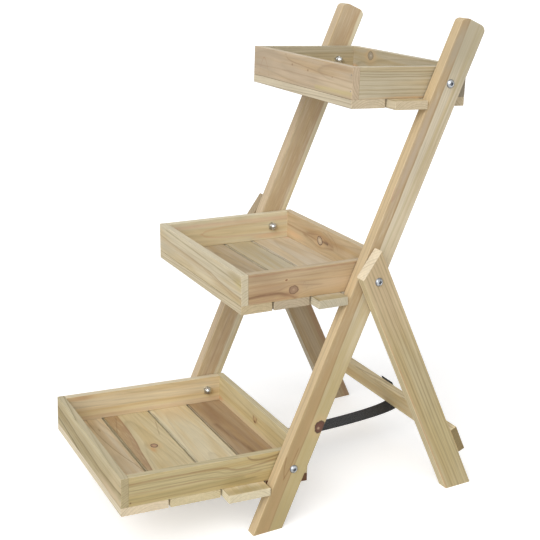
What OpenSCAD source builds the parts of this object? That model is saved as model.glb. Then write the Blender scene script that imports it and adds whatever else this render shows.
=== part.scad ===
// Folding three-tier plant ladder in planed softwood.
// Two long front legs lean back and carry three open slatted trays on bolts. Two short rear
// legs turn on the middle bolts, a cross rail ties them, and a webbing strap from the bottom
// tray to the rail limits how far the stand opens. Each tray rests on its stop slat, which is
// longer than the others and bears on the front edges of the legs; the trays swing up to fold.
// X is the width, Y runs to the rear, Z is up. The floor is z = 0 and the origin is on it,
// midway across the width and midway between the frontmost and rearmost points.

/* [Legs] */
// Width of each leg, seen from the side
leg_w = 47; // [40:1:52]
// Thickness of each leg, across the stand
leg_t = 22; // [16:0.5:26]
// Length of a front leg's centreline, from the floor to its top
front_leg_len = 873; // [840:1:960]
// Angle between the front legs and the floor
front_lean = 63.7; // [62:0.1:66]
// Angle between the rear legs and the floor
rear_lean = 68.5; // [67:0.1:72]
// Length of a rear leg's centreline above its bolt
rear_leg_head = 30; // [26:1:34]
// Angle of the saw cut across the top of a rear leg
rear_leg_mitre = 30.6; // [0:0.2:32]
// Radius of the two corners at the top of a front leg
leg_top_r = 12; // [3:0.5:15]
// Radius of the arrises along the legs
leg_arris = 2; // [0.5:0.5:4]
// Height of the bottom tray's bolt, along the front leg from the floor
bottom_bolt_at = 112; // [108:1:122]
// Height of the middle tray's bolt, along the front leg from the floor
middle_bolt_at = 444; // [438:1:460]
// Height of the top tray's bolt, along the front leg from the floor
top_bolt_at = 771; // [760:1:800]

/* [Trays] */
// Outer width of the trays
tray_w = 349; // [300:1:420]
// Thickness of the tray boards
board_t = 12.5; // [10:0.5:16]
// Height of the tray boards
board_h = 49; // [43:0.5:53]
// Radius of the arrises along the tray boards and the rail
board_arris = 1; // [0.5:0.25:2]
// Depth of the bottom tray, front to rear
bottom_depth = 320; // [300:1:328]
// How far the bottom tray reaches behind its bolt
bottom_overhang = 38; // [34:0.5:40]
// How far the bottom tray slopes down to the rear
bottom_tilt = 4.2; // [2.5:0.1:5]
// Depth of the middle tray, front to rear
middle_depth = 260; // [235:1:265]
// How far the middle tray reaches behind its bolt
middle_overhang = 44.5; // [38:0.5:47]
// How far the middle tray slopes down to the rear
middle_tilt = 2.5; // [1:0.1:4]
// Depth of the top tray, front to rear
top_depth = 207.5; // [170:0.5:230]
// How far the top tray reaches behind its bolt
top_overhang = 45; // [38:0.5:48]
// How far the top tray slopes down to the rear
top_tilt = 4.4; // [1:0.1:5]

/* [Slats] */
// Thickness of the slats
slat_t = 14; // [11:0.5:16]
// Gap between neighbouring slats
slat_gap = 3; // [1.5:0.5:6]
// Radius of the arrises along the slats
slat_arris = 1.5; // [0.5:0.25:3]
// Radius of the eased edges round the sawn ends of boards, slats and rail
end_arris = 0.75; // [0.5:0.25:1.5]
// Width of the bottom tray's front slat
bottom_front_slat_w = 77.5; // [65:0.5:90]
// Width of the bottom tray's stop slat
bottom_stop_slat_w = 73; // [60:0.5:90]
// Width of the middle tray's front slat
middle_front_slat_w = 53; // [45:0.5:65]
// Width of the middle tray's stop slat
middle_stop_slat_w = 52; // [45:0.5:70]
// Width of the top tray's stop slat
top_stop_slat_w = 58.5; // [45:0.5:70]
// How far the ends of a stop slat stand out past the front legs
stop_slat_reach = 1.75; // [0:0.25:2.5]
// Gap between a stop slat and the front legs at rest
stop_gap = 0.2; // [0:0.1:0.5]

/* [Rail and strap] */
// Width of the cross rail
rail_w = 48; // [40:1:52]
// Thickness of the cross rail
rail_t = 12.5; // [10:0.5:16]
// Distance from the middle bolt down the rear leg to the rail's top edge
rail_at = 321; // [312:1:325]
// Width of the webbing strap
strap_w = 38; // [25:1:50]
// Thickness of the webbing strap
strap_t = 1.6; // [1.2:0.1:2.4]
// Place of the strap's middle across the width
strap_x = -3; // [-60:1:60]
// How far the middle of the strap's slack run hangs below a straight line
strap_sag = 7; // [5:0.5:20]
// How far the strap's cut end stands above the rail
strap_end = 3; // [1:0.5:8]

/* [Fasteners] */
// Diameter of the pivot bolts
bolt_d = 8; // [6:1:10]
// Radial running clearance of the bolts in the wood
bolt_clearance = 0.05; // [0.02:0.01:0.08]
// Diameter of the bolt heads
bolt_head_d = 14; // [12:0.5:16]
// Height of the bolt heads
bolt_head_h = 4.4; // [3:0.1:5]
// Width across flats of the hex sockets in the bolt heads
socket_af = 5; // [4:0.5:6]
// Depth of the hex sockets
socket_depth = 2.6; // [1.5:0.1:3]
// Width across flats of the cap nuts
nut_af = 13; // [12:0.5:17]
// Height of the cap nuts' hexagon
nut_hex_h = 6.5; // [5:0.5:8]
// Thickness of the washers between the moving pieces
washer_t = 1.5; // [1:0.25:2]
// Outer diameter of the washers
washer_d = 16; // [14:0.5:22]
// Diameter of the nails' shanks
nail_d = 1.4; // [1:0.1:2.2]
// Diameter of the nails' heads
nail_head_d = 2.2; // [1.8:0.1:4]
// Length of the nails
nail_len = 28; // [22:1:30]
// Distance from a slat's edge to its nails
nail_inset = 16; // [15:0.5:18]
// Diameter of the screws' shanks
screw_d = 3.6; // [3:0.1:4.5]
// Diameter of the screws' heads
screw_head_d = 8; // [6:0.5:9]
// Length of the screws that hold the rail
rail_screw_len = 38; // [30:1:45]
// Length of the screws that hold the strap
strap_screw_len = 11; // [8:0.5:13]

/* [Hidden] */
$fn = 48;
fit_clearance = 0.05;          // of nails and screws in their holes
strap_clearance = 0.2;         // between the strap and the wood that it lies on
socket_clear_d = 2 / sqrt(3);  // across corners of a hexagon, for one across flats
arris_fn = 24;
through = 1;                   // how far a cutter runs past a face
washer_clearance = 0.2;        // radial, round the bolt
nail_head_t = 1;
nail_stagger = 2;              // corner nails and slat nails pass each other by twice this
pan_head_t = 2.2;
nut_bore_depth = 9;
nut_wall = 0.4;                // by which the dome is narrower than the hexagon, each side
nut_chamfer = 30;              // angle of the turned chamfer on the hexagon's corners
socket_lead = 0.4;             // depth of the chamfer at a socket's mouth
bolt_tip_gap = 2;              // between a bolt's tip and the end of the nut's bore
strap_steps = 16;
strap_screw_dx = 10;           // the two screws stand this far from the strap's middle
strap_lap = 26;                // length of strap that lies under the bottom tray's rear slat
strap_lead = 0.3;              // share of the slack run over which it leaves that slat's slope
rail_screw_inset = 12;         // from the rail's edges to its screws

// Across the width, from the middle outwards
tray_side_x = tray_w / 2;
front_leg_x = tray_side_x + washer_t;          // inner face of a front leg
front_leg_out = front_leg_x + leg_t;
rear_leg_x = front_leg_out + washer_t;         // inner face of a rear leg
rear_leg_out = rear_leg_x + leg_t;
stop_slat_len = 2 * (front_leg_out + stop_slat_reach);

// Points in the side view are [y, z]. s runs up a front leg from the floor, or down a rear
// leg from its bolt; off is the distance behind the leg's centreline.
function on_front(s, off) = [s * cos(front_lean) + off * sin(front_lean) + y_shift,
                             s * sin(front_lean) - off * cos(front_lean)];
function on_rear(s, off) = [middle_pivot[0] + s * cos(rear_lean) + off * sin(rear_lean),
                            middle_pivot[1] - s * sin(rear_lean) + off * cos(rear_lean)];
function turn(p, a) = [p[0] * cos(a) - p[1] * sin(a), p[0] * sin(a) + p[1] * cos(a)];
function in_tray(tray, p) = on_front(tray[BOLT], 0) + turn(p, -tray[TILT]);

// A tray: place of its bolt, depth, overhang, tilt, widths of its front slats, stop slat
BOLT = 0;
DEPTH = 1;
OVERHANG = 2;
TILT = 3;
FRONT_SLATS = 4;
STOP_SLAT = 5;
bottom_tray = [bottom_bolt_at, bottom_depth, bottom_overhang, bottom_tilt,
               [bottom_front_slat_w], bottom_stop_slat_w];
middle_tray = [middle_bolt_at, middle_depth, middle_overhang, middle_tilt,
               [middle_front_slat_w], middle_stop_slat_w];
top_tray = [top_bolt_at, top_depth, top_overhang, top_tilt, [], top_stop_slat_w];

function tray_front(tray) = tray[OVERHANG] - tray[DEPTH];
tray_floor = -board_h / 2;
tray_under = tray_floor - slat_t;

// The stop slat's lower rear arris bears on the front edge of the leg
function stop_rear(tray) =
    let (slope = front_lean + tray[TILT],
         z_arris = tray_under + slat_arris)
    slat_arris + (-leg_w / 2 - stop_gap - slat_arris + z_arris * cos(slope)) / sin(slope);
function stop_front(tray) = stop_rear(tray) - tray[STOP_SLAT];
// Each slat is [front edge, rear edge]; the slat before the stop slat fills what is left
function slats(tray) =
    let (front = tray_front(tray),
         first = tray[FRONT_SLATS],
         second_from = len(first) == 0 ? front : front + first[0] + slat_gap,
         lead = len(first) == 0 ? [] : [[front, front + first[0]]])
    concat(lead,
           [[second_from, stop_front(tray) - slat_gap],
            [stop_front(tray), stop_rear(tray)],
            [stop_rear(tray) + slat_gap, tray[OVERHANG]]]);
function stop_index(tray) = len(slats(tray)) - 2;

// The origin lies midway between the bottom tray's lower front arris and the legs' top corner
front_reach = bottom_bolt_at * cos(front_lean) - slat_arris
    + turn([tray_front(bottom_tray) + slat_arris, tray_under + slat_arris], -bottom_tilt)[0];
rear_reach = (front_leg_len - leg_top_r) * cos(front_lean)
    + (leg_w / 2 - leg_top_r) * sin(front_lean) + leg_top_r;
y_shift = -(front_reach + rear_reach) / 2;
middle_pivot = on_front(middle_bolt_at, 0);
rear_leg_reach = middle_pivot[1] / sin(rear_lean);   // from its bolt to the floor

// ---- Shapes shared by the sub-parts ----

// Section of planed timber with rounded arrises
module timber_section(w, t, r) {
    square([w - 2 * r, t], center = true);
    square([w, t - 2 * r], center = true);
    for (sx = [-1, 1], sy = [-1, 1])
        translate([sx * (w / 2 - r), sy * (t / 2 - r)]) circle(r, $fn = arris_fn);
}

// Draws a side view, in Y and Z, from x_from outwards over a thickness
module across(x_from, thickness) {
    translate([x_from, 0, 0]) rotate([90, 0, 90]) linear_extrude(thickness) children();
}

// Timber along Z, centred at the origin, with arrises of radius r and eased ends
module timber(w, t, length, r) {
    intersection() {
        linear_extrude(length, center = true) timber_section(w, t, r);
        rotate([90, 0, 0]) linear_extrude(t, center = true) timber_section(w, length, end_arris);
        rotate([90, 0, 90]) linear_extrude(w, center = true) timber_section(t, length, end_arris);
    }
}

// A bar along X, centred at the origin
module bar_x(length, depth, height, r) {
    rotate([90, 0, 90]) timber(depth, height, length, r);
}

// A bar along Y from y_from, centred on the other axes
module bar_y(y_from, length, width, height, r) {
    translate([0, y_from, 0]) rotate([-90, 0, 0]) linear_extrude(length)
        timber_section(width, height, r);
}

// A round rod along X between two places
module rod_x(x_from, x_to, r) {
    translate([x_from, 0, 0]) rotate([0, 90, 0]) cylinder(h = x_to - x_from, r = r);
}

module at_side_point(p) {
    translate([0, p[0], p[1]]) children();
}

module both_sides() {
    children();
    mirror([1, 0, 0]) children();
}

module in_tray_frame(tray) {
    at_side_point(on_front(tray[BOLT], 0)) rotate([-tray[TILT], 0, 0]) children();
}

// ---- Front frame ----

// Side view of a front leg: level at the floor, square at the top, with round corners
module front_leg_outline() {
    half = leg_w / 2;
    inner = half - leg_top_r;
    foot_cut = half / tan(front_lean);
    polygon([on_front(foot_cut, half), on_front(front_leg_len - leg_top_r, half),
             on_front(front_leg_len, inner), on_front(front_leg_len, -inner),
             on_front(front_leg_len - leg_top_r, -half), on_front(-foot_cut, -half)]);
    for (off = [-inner, inner])
        translate(on_front(front_leg_len - leg_top_r, off)) circle(leg_top_r);
}

module front_leg_bar() {
    at_side_point(on_front(-leg_w, 0)) rotate([front_lean - 90, 0, 0])
        linear_extrude(front_leg_len + 2 * leg_w) timber_section(leg_t, leg_w, leg_arris);
}

module right_front_leg() {
    color("#cdb68c") difference() {
        intersection() {
            translate([front_leg_x + leg_t / 2, 0, 0]) front_leg_bar();
            across(front_leg_x - through, leg_t + 2 * through) front_leg_outline();
        }
        for (tray = [bottom_tray, middle_tray, top_tray])
            at_side_point(on_front(tray[BOLT], 0))
                rod_x(front_leg_x - through, front_leg_out + through,
                      bolt_d / 2 + bolt_clearance);
    }
}

module left_front_leg() {
    mirror([1, 0, 0]) right_front_leg();
}

// Round head with a hex socket, shank towards the middle; head_x is the face it bears on
module bolt(head_x) {
    a = bolt_head_d / 2;
    dome_r = (a * a + bolt_head_h * bolt_head_h) / (2 * bolt_head_h);
    socket_r = socket_af * socket_clear_d / 2;
    mouth_x = head_x + bolt_head_h - dome_r + sqrt(dome_r * dome_r - socket_r * socket_r);
    tip_x = tray_side_x - board_t - nut_bore_depth + bolt_tip_gap;
    color("#b9bcc0") {
        difference() {
            intersection() {
                translate([head_x + bolt_head_h - dome_r, 0, 0]) rotate([0, 90, 0])
                    sphere(dome_r);
                rod_x(head_x, head_x + bolt_head_h, a);
            }
            translate([head_x + bolt_head_h - socket_depth, 0, 0]) rotate([0, 90, 0])
                cylinder(h = socket_depth + through, r = socket_r, $fn = 6);
            translate([mouth_x - socket_lead, 0, 0]) rotate([0, 90, 0])
                cylinder(h = 2 * socket_lead, r1 = socket_r, r2 = socket_r + 2 * socket_lead);
        }
        rod_x(tip_x, head_x, bolt_d / 2);
    }
}

module tray_bolts(tray, head_x) {
    at_side_point(on_front(tray[BOLT], 0)) both_sides() bolt(head_x);
}

// Hexagon against the inside of the tray, with a dome over the bolt's tip
module cap_nut() {
    face_x = tray_side_x - board_t;
    dome_r = nut_af / 2 - nut_wall;
    corner_r = nut_af * socket_clear_d / 2;
    chamfer_h = (corner_r - nut_af / 2) * tan(nut_chamfer);
    color("#c4c7ca") difference() {
        union() {
            translate([face_x - nut_hex_h, 0, 0]) rotate([0, 90, 0]) intersection() {
                cylinder(h = nut_hex_h, r = corner_r, $fn = 6);
                union() {
                    cylinder(h = chamfer_h, r1 = nut_af / 2, r2 = corner_r);
                    translate([0, 0, chamfer_h]) cylinder(h = nut_hex_h, r = corner_r);
                }
            }
            translate([face_x - nut_hex_h, 0, 0]) sphere(dome_r);
        }
        rod_x(face_x - nut_bore_depth, face_x + through, bolt_d / 2 + bolt_clearance);
        // the dome is only on the hexagon's inner side
        rod_x(face_x, face_x + nut_af, nut_af);
    }
}

module cap_nuts(tray) {
    at_side_point(on_front(tray[BOLT], 0)) both_sides() cap_nut();
}

module washer(x_from) {
    color("#aeb1b5") difference() {
        rod_x(x_from, x_from + washer_t, washer_d / 2);
        rod_x(x_from - through, x_from + washer_t + through, bolt_d / 2 + washer_clearance);
    }
}

module tray_washers() {
    for (tray = [bottom_tray, middle_tray, top_tray])
        at_side_point(on_front(tray[BOLT], 0)) both_sides() washer(tray_side_x);
}

module leg_washers() {
    at_side_point(middle_pivot) both_sides() washer(front_leg_out);
}

// ---- Rear frame ----

// Side view of a rear leg: level at the floor, sawn at an angle above its bolt
module rear_leg_outline() {
    half = leg_w / 2;
    foot_cut = half / tan(rear_lean);
    head_cut = half * tan(rear_leg_mitre);
    polygon([on_rear(-rear_leg_head - head_cut, half), on_rear(rear_leg_reach + foot_cut, half),
             on_rear(rear_leg_reach - foot_cut, -half), on_rear(-rear_leg_head + head_cut, -half)]);
}

module right_rear_leg() {
    color("#c8b286") difference() {
        intersection() {
            translate([rear_leg_x + leg_t / 2, 0, 0])
                at_side_point(on_rear(rear_leg_reach + leg_w, 0)) rotate([90 - rear_lean, 0, 0])
                    linear_extrude(rear_leg_reach + rear_leg_head + 2 * leg_w)
                        timber_section(leg_t, leg_w, leg_arris);
            across(rear_leg_x - through, leg_t + 2 * through) rear_leg_outline();
        }
        at_side_point(middle_pivot)
            rod_x(rear_leg_x - through, rear_leg_out + through, bolt_d / 2 + bolt_clearance);
        at_right_rail_screws() countersunk_hole();
    }
}

module left_rear_leg() {
    mirror([1, 0, 0]) right_rear_leg();
}

// Places children on the rail's rear face, s down the rear leg, with +Z into the wood
module at_rail_face(x, s) {
    translate([x, 0, 0]) at_side_point(on_rear(s, leg_w / 2 + rail_t))
        rotate([180 - rear_lean, 0, 0]) children();
}

// Head and shank of a countersunk screw from the origin along +Z
module countersunk(head_r, shank_r) {
    cylinder(h = head_r - shank_r, r1 = head_r, r2 = shank_r);
    cylinder(h = rail_screw_len, r = shank_r);
}

module countersunk_hole() {
    head_r = screw_head_d / 2 + fit_clearance;
    countersunk(head_r, screw_d / 2 + fit_clearance);
    translate([0, 0, -through]) cylinder(h = through, r = head_r);
}

module at_right_rail_screws() {
    for (s = [rail_at + rail_screw_inset, rail_at + rail_w - rail_screw_inset])
        at_rail_face(rear_leg_x + leg_t / 2, s) children();
}

module rail_screws() {
    color("#b5b7ba") both_sides() at_right_rail_screws()
        countersunk(screw_head_d / 2, screw_d / 2);
}

module rear_cross_rail() {
    color("#c2ab80") difference() {
        at_side_point(on_rear(rail_at + rail_w / 2, leg_w / 2 + rail_t / 2))
            rotate([90 - rear_lean, 0, 0])
                bar_x(2 * rear_leg_out, rail_t, rail_w, board_arris);
        both_sides() at_right_rail_screws() countersunk_hole();
        at_strap_rail_screws() pan_screw_hole();
    }
}

// ---- Strap ----

function bezier(a, b, c, d, t) =
    pow(1 - t, 3) * a + 3 * t * pow(1 - t, 2) * b + 3 * t * t * (1 - t) * c + pow(t, 3) * d;
function unit(v) = v / norm(v);

// Middle line of the strap in the side view: under the bottom tray's rear slat, slack to the
// rail, under the rail, up its rear face
strap_off = strap_clearance + strap_t / 2;     // its middle line from the wood
strap_under = tray_under - strap_off;
strap_leaves = in_tray(bottom_tray, [bottom_overhang - slat_arris, strap_under]);
rail_low = rail_at + rail_w;
rail_rear = leg_w / 2 + rail_t;
strap_meets = on_rear(rail_low + strap_off, leg_w / 2 + board_arris);
strap_bend_r = board_arris + strap_off;

// The slack run starts along the slat's underside and ends along the rail's. Its second handle
// is as long as puts the middle of the run strap_sag below the line between its ends.
strap_span = strap_meets - strap_leaves;
slat_slope = turn([1, 0], -bottom_tilt);
rail_slope = [sin(rear_lean), cos(rear_lean)];
function dip(v) = v[0] * strap_span[1] / strap_span[0] - v[1];
slat_handle = strap_span[0] * strap_lead * slat_slope;
rail_handle = (strap_sag * 8 / 3 - dip(slat_handle)) / dip(-rail_slope) * rail_slope;
strap_run = [for (i = [0:strap_steps])
    bezier(strap_leaves, strap_leaves + slat_handle, strap_meets - rail_handle, strap_meets,
           i / strap_steps)];
strap_line = concat(
    [in_tray(bottom_tray, [bottom_overhang - strap_lap, strap_under])],
    strap_run,
    [for (a = [0:30:90])
        on_rear(rail_low - board_arris + strap_bend_r * cos(a),
                rail_rear - board_arris + strap_bend_r * sin(a))],
    [on_rear(rail_at - strap_end, rail_rear + strap_off)]);

// Offset of the middle line to one side, square to the mean direction at each point
function beside(line, d) =
    [for (i = [0:len(line) - 1])
        let (before = line[max(i - 1, 0)],
             after = line[min(i + 1, len(line) - 1)],
             here = line[i],
             in_dir = i == 0 ? unit(after - here) : unit(here - before),
             out_dir = i == len(line) - 1 ? in_dir : unit(after - here),
             mean = unit(in_dir + out_dir))
        here + d / (mean * in_dir) * [-mean[1], mean[0]]];

module strap() {
    front_side = beside(strap_line, strap_t / 2);
    rear_side = beside(strap_line, -strap_t / 2);
    color("#2e3236") difference() {
        across(strap_x - strap_w / 2, strap_w)
            polygon(concat(front_side, [for (i = [len(rear_side) - 1:-1:0]) rear_side[i]]));
        at_strap_rail_screws() pan_screw_hole();
        at_strap_tray_screws() pan_screw_hole();
    }
}

// Pan-head screw whose head bears on the strap at the origin, its shank along +Z
module pan_screw() {
    color("#b5b7ba") {
        translate([0, 0, -pan_head_t]) cylinder(h = pan_head_t, d = screw_head_d);
        cylinder(h = strap_screw_len, d = screw_d);
    }
}

module pan_screw_hole() {
    translate([0, 0, -through])
        cylinder(h = strap_screw_len + through, r = screw_d / 2 + fit_clearance);
}

module at_strap_rail_screws() {
    for (sx = [-1, 1])
        at_rail_face(strap_x + sx * strap_screw_dx, rail_at + rail_w / 2)
            translate([0, 0, -strap_clearance - strap_t]) children();
}

module at_strap_tray_screws() {
    in_tray_frame(bottom_tray)
        for (sx = [-1, 1])
            translate([strap_x + sx * strap_screw_dx, bottom_overhang - strap_lap / 2,
                       tray_under - strap_clearance - strap_t])
                children();
}

// ---- Trays, each drawn round its own bolt ----

// A nail from the origin along +Z, its head flush
module nail() {
    cylinder(h = nail_head_t, d = nail_head_d);
    cylinder(h = nail_len, d = nail_d);
}

module nail_hole() {
    translate([0, 0, -through])
        cylinder(h = nail_head_t + through, r = nail_head_d / 2 + fit_clearance);
    cylinder(h = nail_len, r = nail_d / 2 + fit_clearance);
}

// Two nails through each end of the front and rear boards into the side boards
module at_corner_nails(tray) {
    x = tray_side_x - board_t / 2 + nail_stagger;
    for (sx = [-1, 1], sz = [-1, 1]) {
        translate([sx * x, tray_front(tray), sz * board_h / 4])
            rotate([-90, 0, 0]) children();
        translate([sx * x, tray[OVERHANG], sz * board_h / 4])
            rotate([90, 0, 0]) children();
    }
}

// Two nails up through each end of every slat into the side boards
module at_slat_nails(tray) {
    x = tray_side_x - board_t / 2 - nail_stagger;
    for (slat = slats(tray), sx = [-1, 1], y = [slat[0] + nail_inset, slat[1] - nail_inset])
        translate([sx * x, y, tray_under]) children();
}

module tray_nails(tray) {
    color("#8d8f92") in_tray_frame(tray) {
        at_corner_nails(tray) nail();
        at_slat_nails(tray) nail();
    }
}

module front_board(tray) {
    color("#c6b482") in_tray_frame(tray) difference() {
        translate([0, tray_front(tray) + board_t / 2, 0])
            bar_x(tray_w, board_t, board_h, board_arris);
        at_corner_nails(tray) nail_hole();
    }
}

module rear_board(tray) {
    color("#c4b07e") in_tray_frame(tray) difference() {
        translate([0, tray[OVERHANG] - board_t / 2, 0])
            bar_x(tray_w, board_t, board_h, board_arris);
        at_corner_nails(tray) nail_hole();
    }
}

module right_side(tray) {
    color("#c9b581") in_tray_frame(tray) difference() {
        translate([tray_side_x - board_t / 2, 0, 0])
            bar_y(tray_front(tray) + board_t, tray[DEPTH] - 2 * board_t,
                  board_t, board_h, board_arris);
        rod_x(tray_side_x - board_t - through, tray_side_x + through,
              bolt_d / 2 + bolt_clearance);
        at_corner_nails(tray) nail_hole();
        at_slat_nails(tray) nail_hole();
    }
}

module left_side(tray) {
    mirror([1, 0, 0]) right_side(tray);
}

module slat(tray, index) {
    edges = slats(tray)[index];
    length = index == stop_index(tray) ? stop_slat_len : tray_w;
    color(index % 2 == 0 ? "#c7b587" : "#bfa779") in_tray_frame(tray) difference() {
        translate([0, (edges[0] + edges[1]) / 2, tray_under + slat_t / 2])
            bar_x(length, edges[1] - edges[0], slat_t, slat_arris);
        at_slat_nails(tray) nail_hole();
    }
}

// The bottom tray's rear slat, which also holds the strap
module bottom_rear_slat() {
    difference() {
        slat(bottom_tray, stop_index(bottom_tray) + 1);
        at_strap_tray_screws() pan_screw_hole();
    }
}

left_front_leg();
right_front_leg();
tray_bolts(bottom_tray, front_leg_out);  // bottom_bolts
tray_bolts(middle_tray, rear_leg_out);  // middle_bolts
tray_bolts(top_tray, front_leg_out);  // top_bolts
cap_nuts(bottom_tray);  // bottom_cap_nuts
cap_nuts(middle_tray);  // middle_cap_nuts
cap_nuts(top_tray);  // top_cap_nuts
tray_washers();
leg_washers();
left_rear_leg();
right_rear_leg();
rear_cross_rail();
rail_screws();
strap();
at_strap_rail_screws() pan_screw();  // strap_rail_screws
front_board(bottom_tray);  // bottom_front_board
rear_board(bottom_tray);  // bottom_rear_board
left_side(bottom_tray);  // bottom_left_side
right_side(bottom_tray);  // bottom_right_side
slat(bottom_tray, 0);  // bottom_slat_1
slat(bottom_tray, 1);  // bottom_slat_2
slat(bottom_tray, 2);  // bottom_stop_slat
bottom_rear_slat();  // bottom_slat_4
tray_nails(bottom_tray);  // bottom_nails
at_strap_tray_screws() pan_screw();  // strap_tray_screws
front_board(middle_tray);  // middle_front_board
rear_board(middle_tray);  // middle_rear_board
left_side(middle_tray);  // middle_left_side
right_side(middle_tray);  // middle_right_side
slat(middle_tray, 0);  // middle_slat_1
slat(middle_tray, 1);  // middle_slat_2
slat(middle_tray, 2);  // middle_stop_slat
slat(middle_tray, 3);  // middle_slat_4
tray_nails(middle_tray);  // middle_nails
front_board(top_tray);  // top_front_board
rear_board(top_tray);  // top_rear_board
left_side(top_tray);  // top_left_side
right_side(top_tray);  // top_right_side
slat(top_tray, 0);  // top_slat_1
slat(top_tray, 1);  // top_stop_slat
slat(top_tray, 2);  // top_slat_3
tray_nails(top_tray);  // top_nails
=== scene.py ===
"""Plant ladder stand: materials, webbing, camera and light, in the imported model's frame (metres)."""
import math

import bpy
from mathutils import Matrix, Vector

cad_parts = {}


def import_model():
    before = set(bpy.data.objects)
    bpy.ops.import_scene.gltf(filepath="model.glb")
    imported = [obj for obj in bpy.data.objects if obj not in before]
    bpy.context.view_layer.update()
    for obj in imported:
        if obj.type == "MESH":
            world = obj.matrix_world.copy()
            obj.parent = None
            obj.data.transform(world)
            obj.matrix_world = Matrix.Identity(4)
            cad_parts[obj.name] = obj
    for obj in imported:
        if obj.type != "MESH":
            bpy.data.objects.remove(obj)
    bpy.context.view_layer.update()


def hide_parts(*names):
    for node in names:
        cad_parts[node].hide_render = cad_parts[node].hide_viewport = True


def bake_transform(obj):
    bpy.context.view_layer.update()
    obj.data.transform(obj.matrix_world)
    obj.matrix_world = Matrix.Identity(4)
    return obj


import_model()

MM = 0.001


# ---------------------------------------------------------------- small helpers
def tone(red, green, blue):
    """An sRGB colour, 0 to 255, as the linear colour that a shader socket takes."""
    channels = []
    for value in (red, green, blue):
        share = value / 255
        if share <= 0.04045:
            channels.append(share / 12.92)
        else:
            channels.append(((share + 0.055) / 1.055) ** 2.4)
    return (*channels, 1.0)


def put(tree, socket, value):
    """Link the socket to another socket, or set the value that it holds."""
    if isinstance(value, bpy.types.NodeSocket):
        tree.links.new(value, socket)
    elif value is not None:
        socket.default_value = value


def math_node(tree, operation, first, second=None, third=None, clamp=False):
    node = tree.nodes.new("ShaderNodeMath")
    node.operation = operation
    node.use_clamp = clamp
    for socket, value in zip(node.inputs, (first, second, third)):
        put(tree, socket, value)
    return node.outputs[0]


def times(tree, first, second, more=None):
    """first times second, plus more where it is given."""
    if more is None:
        return math_node(tree, "MULTIPLY", first, second)
    return math_node(tree, "MULTIPLY_ADD", first, second, more)


def vector_node(tree, operation, first, second=None):
    node = tree.nodes.new("ShaderNodeVectorMath")
    node.operation = operation
    put(tree, node.inputs[0], first)
    put(tree, node.inputs[1], second)
    return node.outputs["Value" if operation == "LENGTH" else "Vector"]


def split(tree, vector):
    node = tree.nodes.new("ShaderNodeSeparateXYZ")
    put(tree, node.inputs[0], vector)
    return node.outputs


def join(tree, x, y, z):
    node = tree.nodes.new("ShaderNodeCombineXYZ")
    for socket, value in zip(node.inputs, (x, y, z)):
        put(tree, socket, value)
    return node.outputs[0]


def noise(tree, vector, scale, detail=2.0, roughness=0.5, output="Fac"):
    node = tree.nodes.new("ShaderNodeTexNoise")
    put(tree, node.inputs["Vector"], vector)
    put(tree, node.inputs["Scale"], scale)
    put(tree, node.inputs["Detail"], detail)
    put(tree, node.inputs["Roughness"], roughness)
    return node.outputs[output]


def span(tree, value, low, high, to_low=0.0, to_high=1.0):
    """A smooth step of value from low to high."""
    node = tree.nodes.new("ShaderNodeMapRange")
    node.interpolation_type = "SMOOTHSTEP"
    for socket, number in zip(node.inputs, (value, low, high, to_low, to_high)):
        put(tree, socket, number)
    return node.outputs[0]


def ramp(tree, value, stops):
    """A curve of grey levels: stops are pairs of a place and a level."""
    node = tree.nodes.new("ShaderNodeValToRGB")
    points = node.color_ramp.elements
    while len(points) < len(stops):
        points.new(0.5)
    for point, (place, level) in zip(points, stops):
        point.position = place
        point.color = (level, level, level, 1)
    put(tree, node.inputs[0], value)
    return node.outputs["Color"]


def blend_colours(tree, share, first, second, mode="MIX"):
    node = tree.nodes.new("ShaderNodeMix")
    node.data_type = "RGBA"
    node.blend_type = mode
    put(tree, node.inputs["Factor"], share)
    put(tree, node.inputs[6], first)
    put(tree, node.inputs[7], second)
    return node.outputs[2]


def paint(tree, shown, mask, strength, colour):
    """An sRGB colour laid over the shown one where the mask is."""
    return blend_colours(tree, times(tree, mask, strength), shown, tone(*colour))


def new_group(name, inputs, outputs):
    """A shader node group with its input node's outputs and its output node's inputs by name."""
    group = bpy.data.node_groups.new(name, "ShaderNodeTree")
    for label, kind in inputs:
        group.interface.new_socket(label, in_out="INPUT", socket_type="NodeSocket" + kind)
    for label, kind in outputs:
        group.interface.new_socket(label, in_out="OUTPUT", socket_type="NodeSocket" + kind)
    source = group.nodes.new("NodeGroupInput")
    target = group.nodes.new("NodeGroupOutput")
    return group, source.outputs, target.inputs


def use_group(tree, group, values):
    node = tree.nodes.new("ShaderNodeGroup")
    node.node_tree = group
    for label, value in values.items():
        put(tree, node.inputs[label], value)
    return node.outputs


def new_material(name):
    """An empty material, its node tree and its main shader."""
    material = bpy.data.materials.new(name)
    material.use_nodes = True
    tree = material.node_tree
    shader = next(node for node in tree.nodes if node.type == "BSDF_PRINCIPLED")
    return material, tree, shader


def give(material, nodes):
    """The material on each of the CAD nodes."""
    for node in nodes:
        bpy.data.objects[node].material_slots[0].material = material


def bump(tree, height, distance, strength):
    node = tree.nodes.new("ShaderNodeBump")
    put(tree, node.inputs["Height"], height)
    node.inputs["Distance"].default_value = distance
    node.inputs["Strength"].default_value = strength
    return node.outputs["Normal"]


def add_object(name, data):
    made = bpy.data.objects.new(name, data)
    bpy.context.scene.collection.objects.link(made)
    return made


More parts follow.
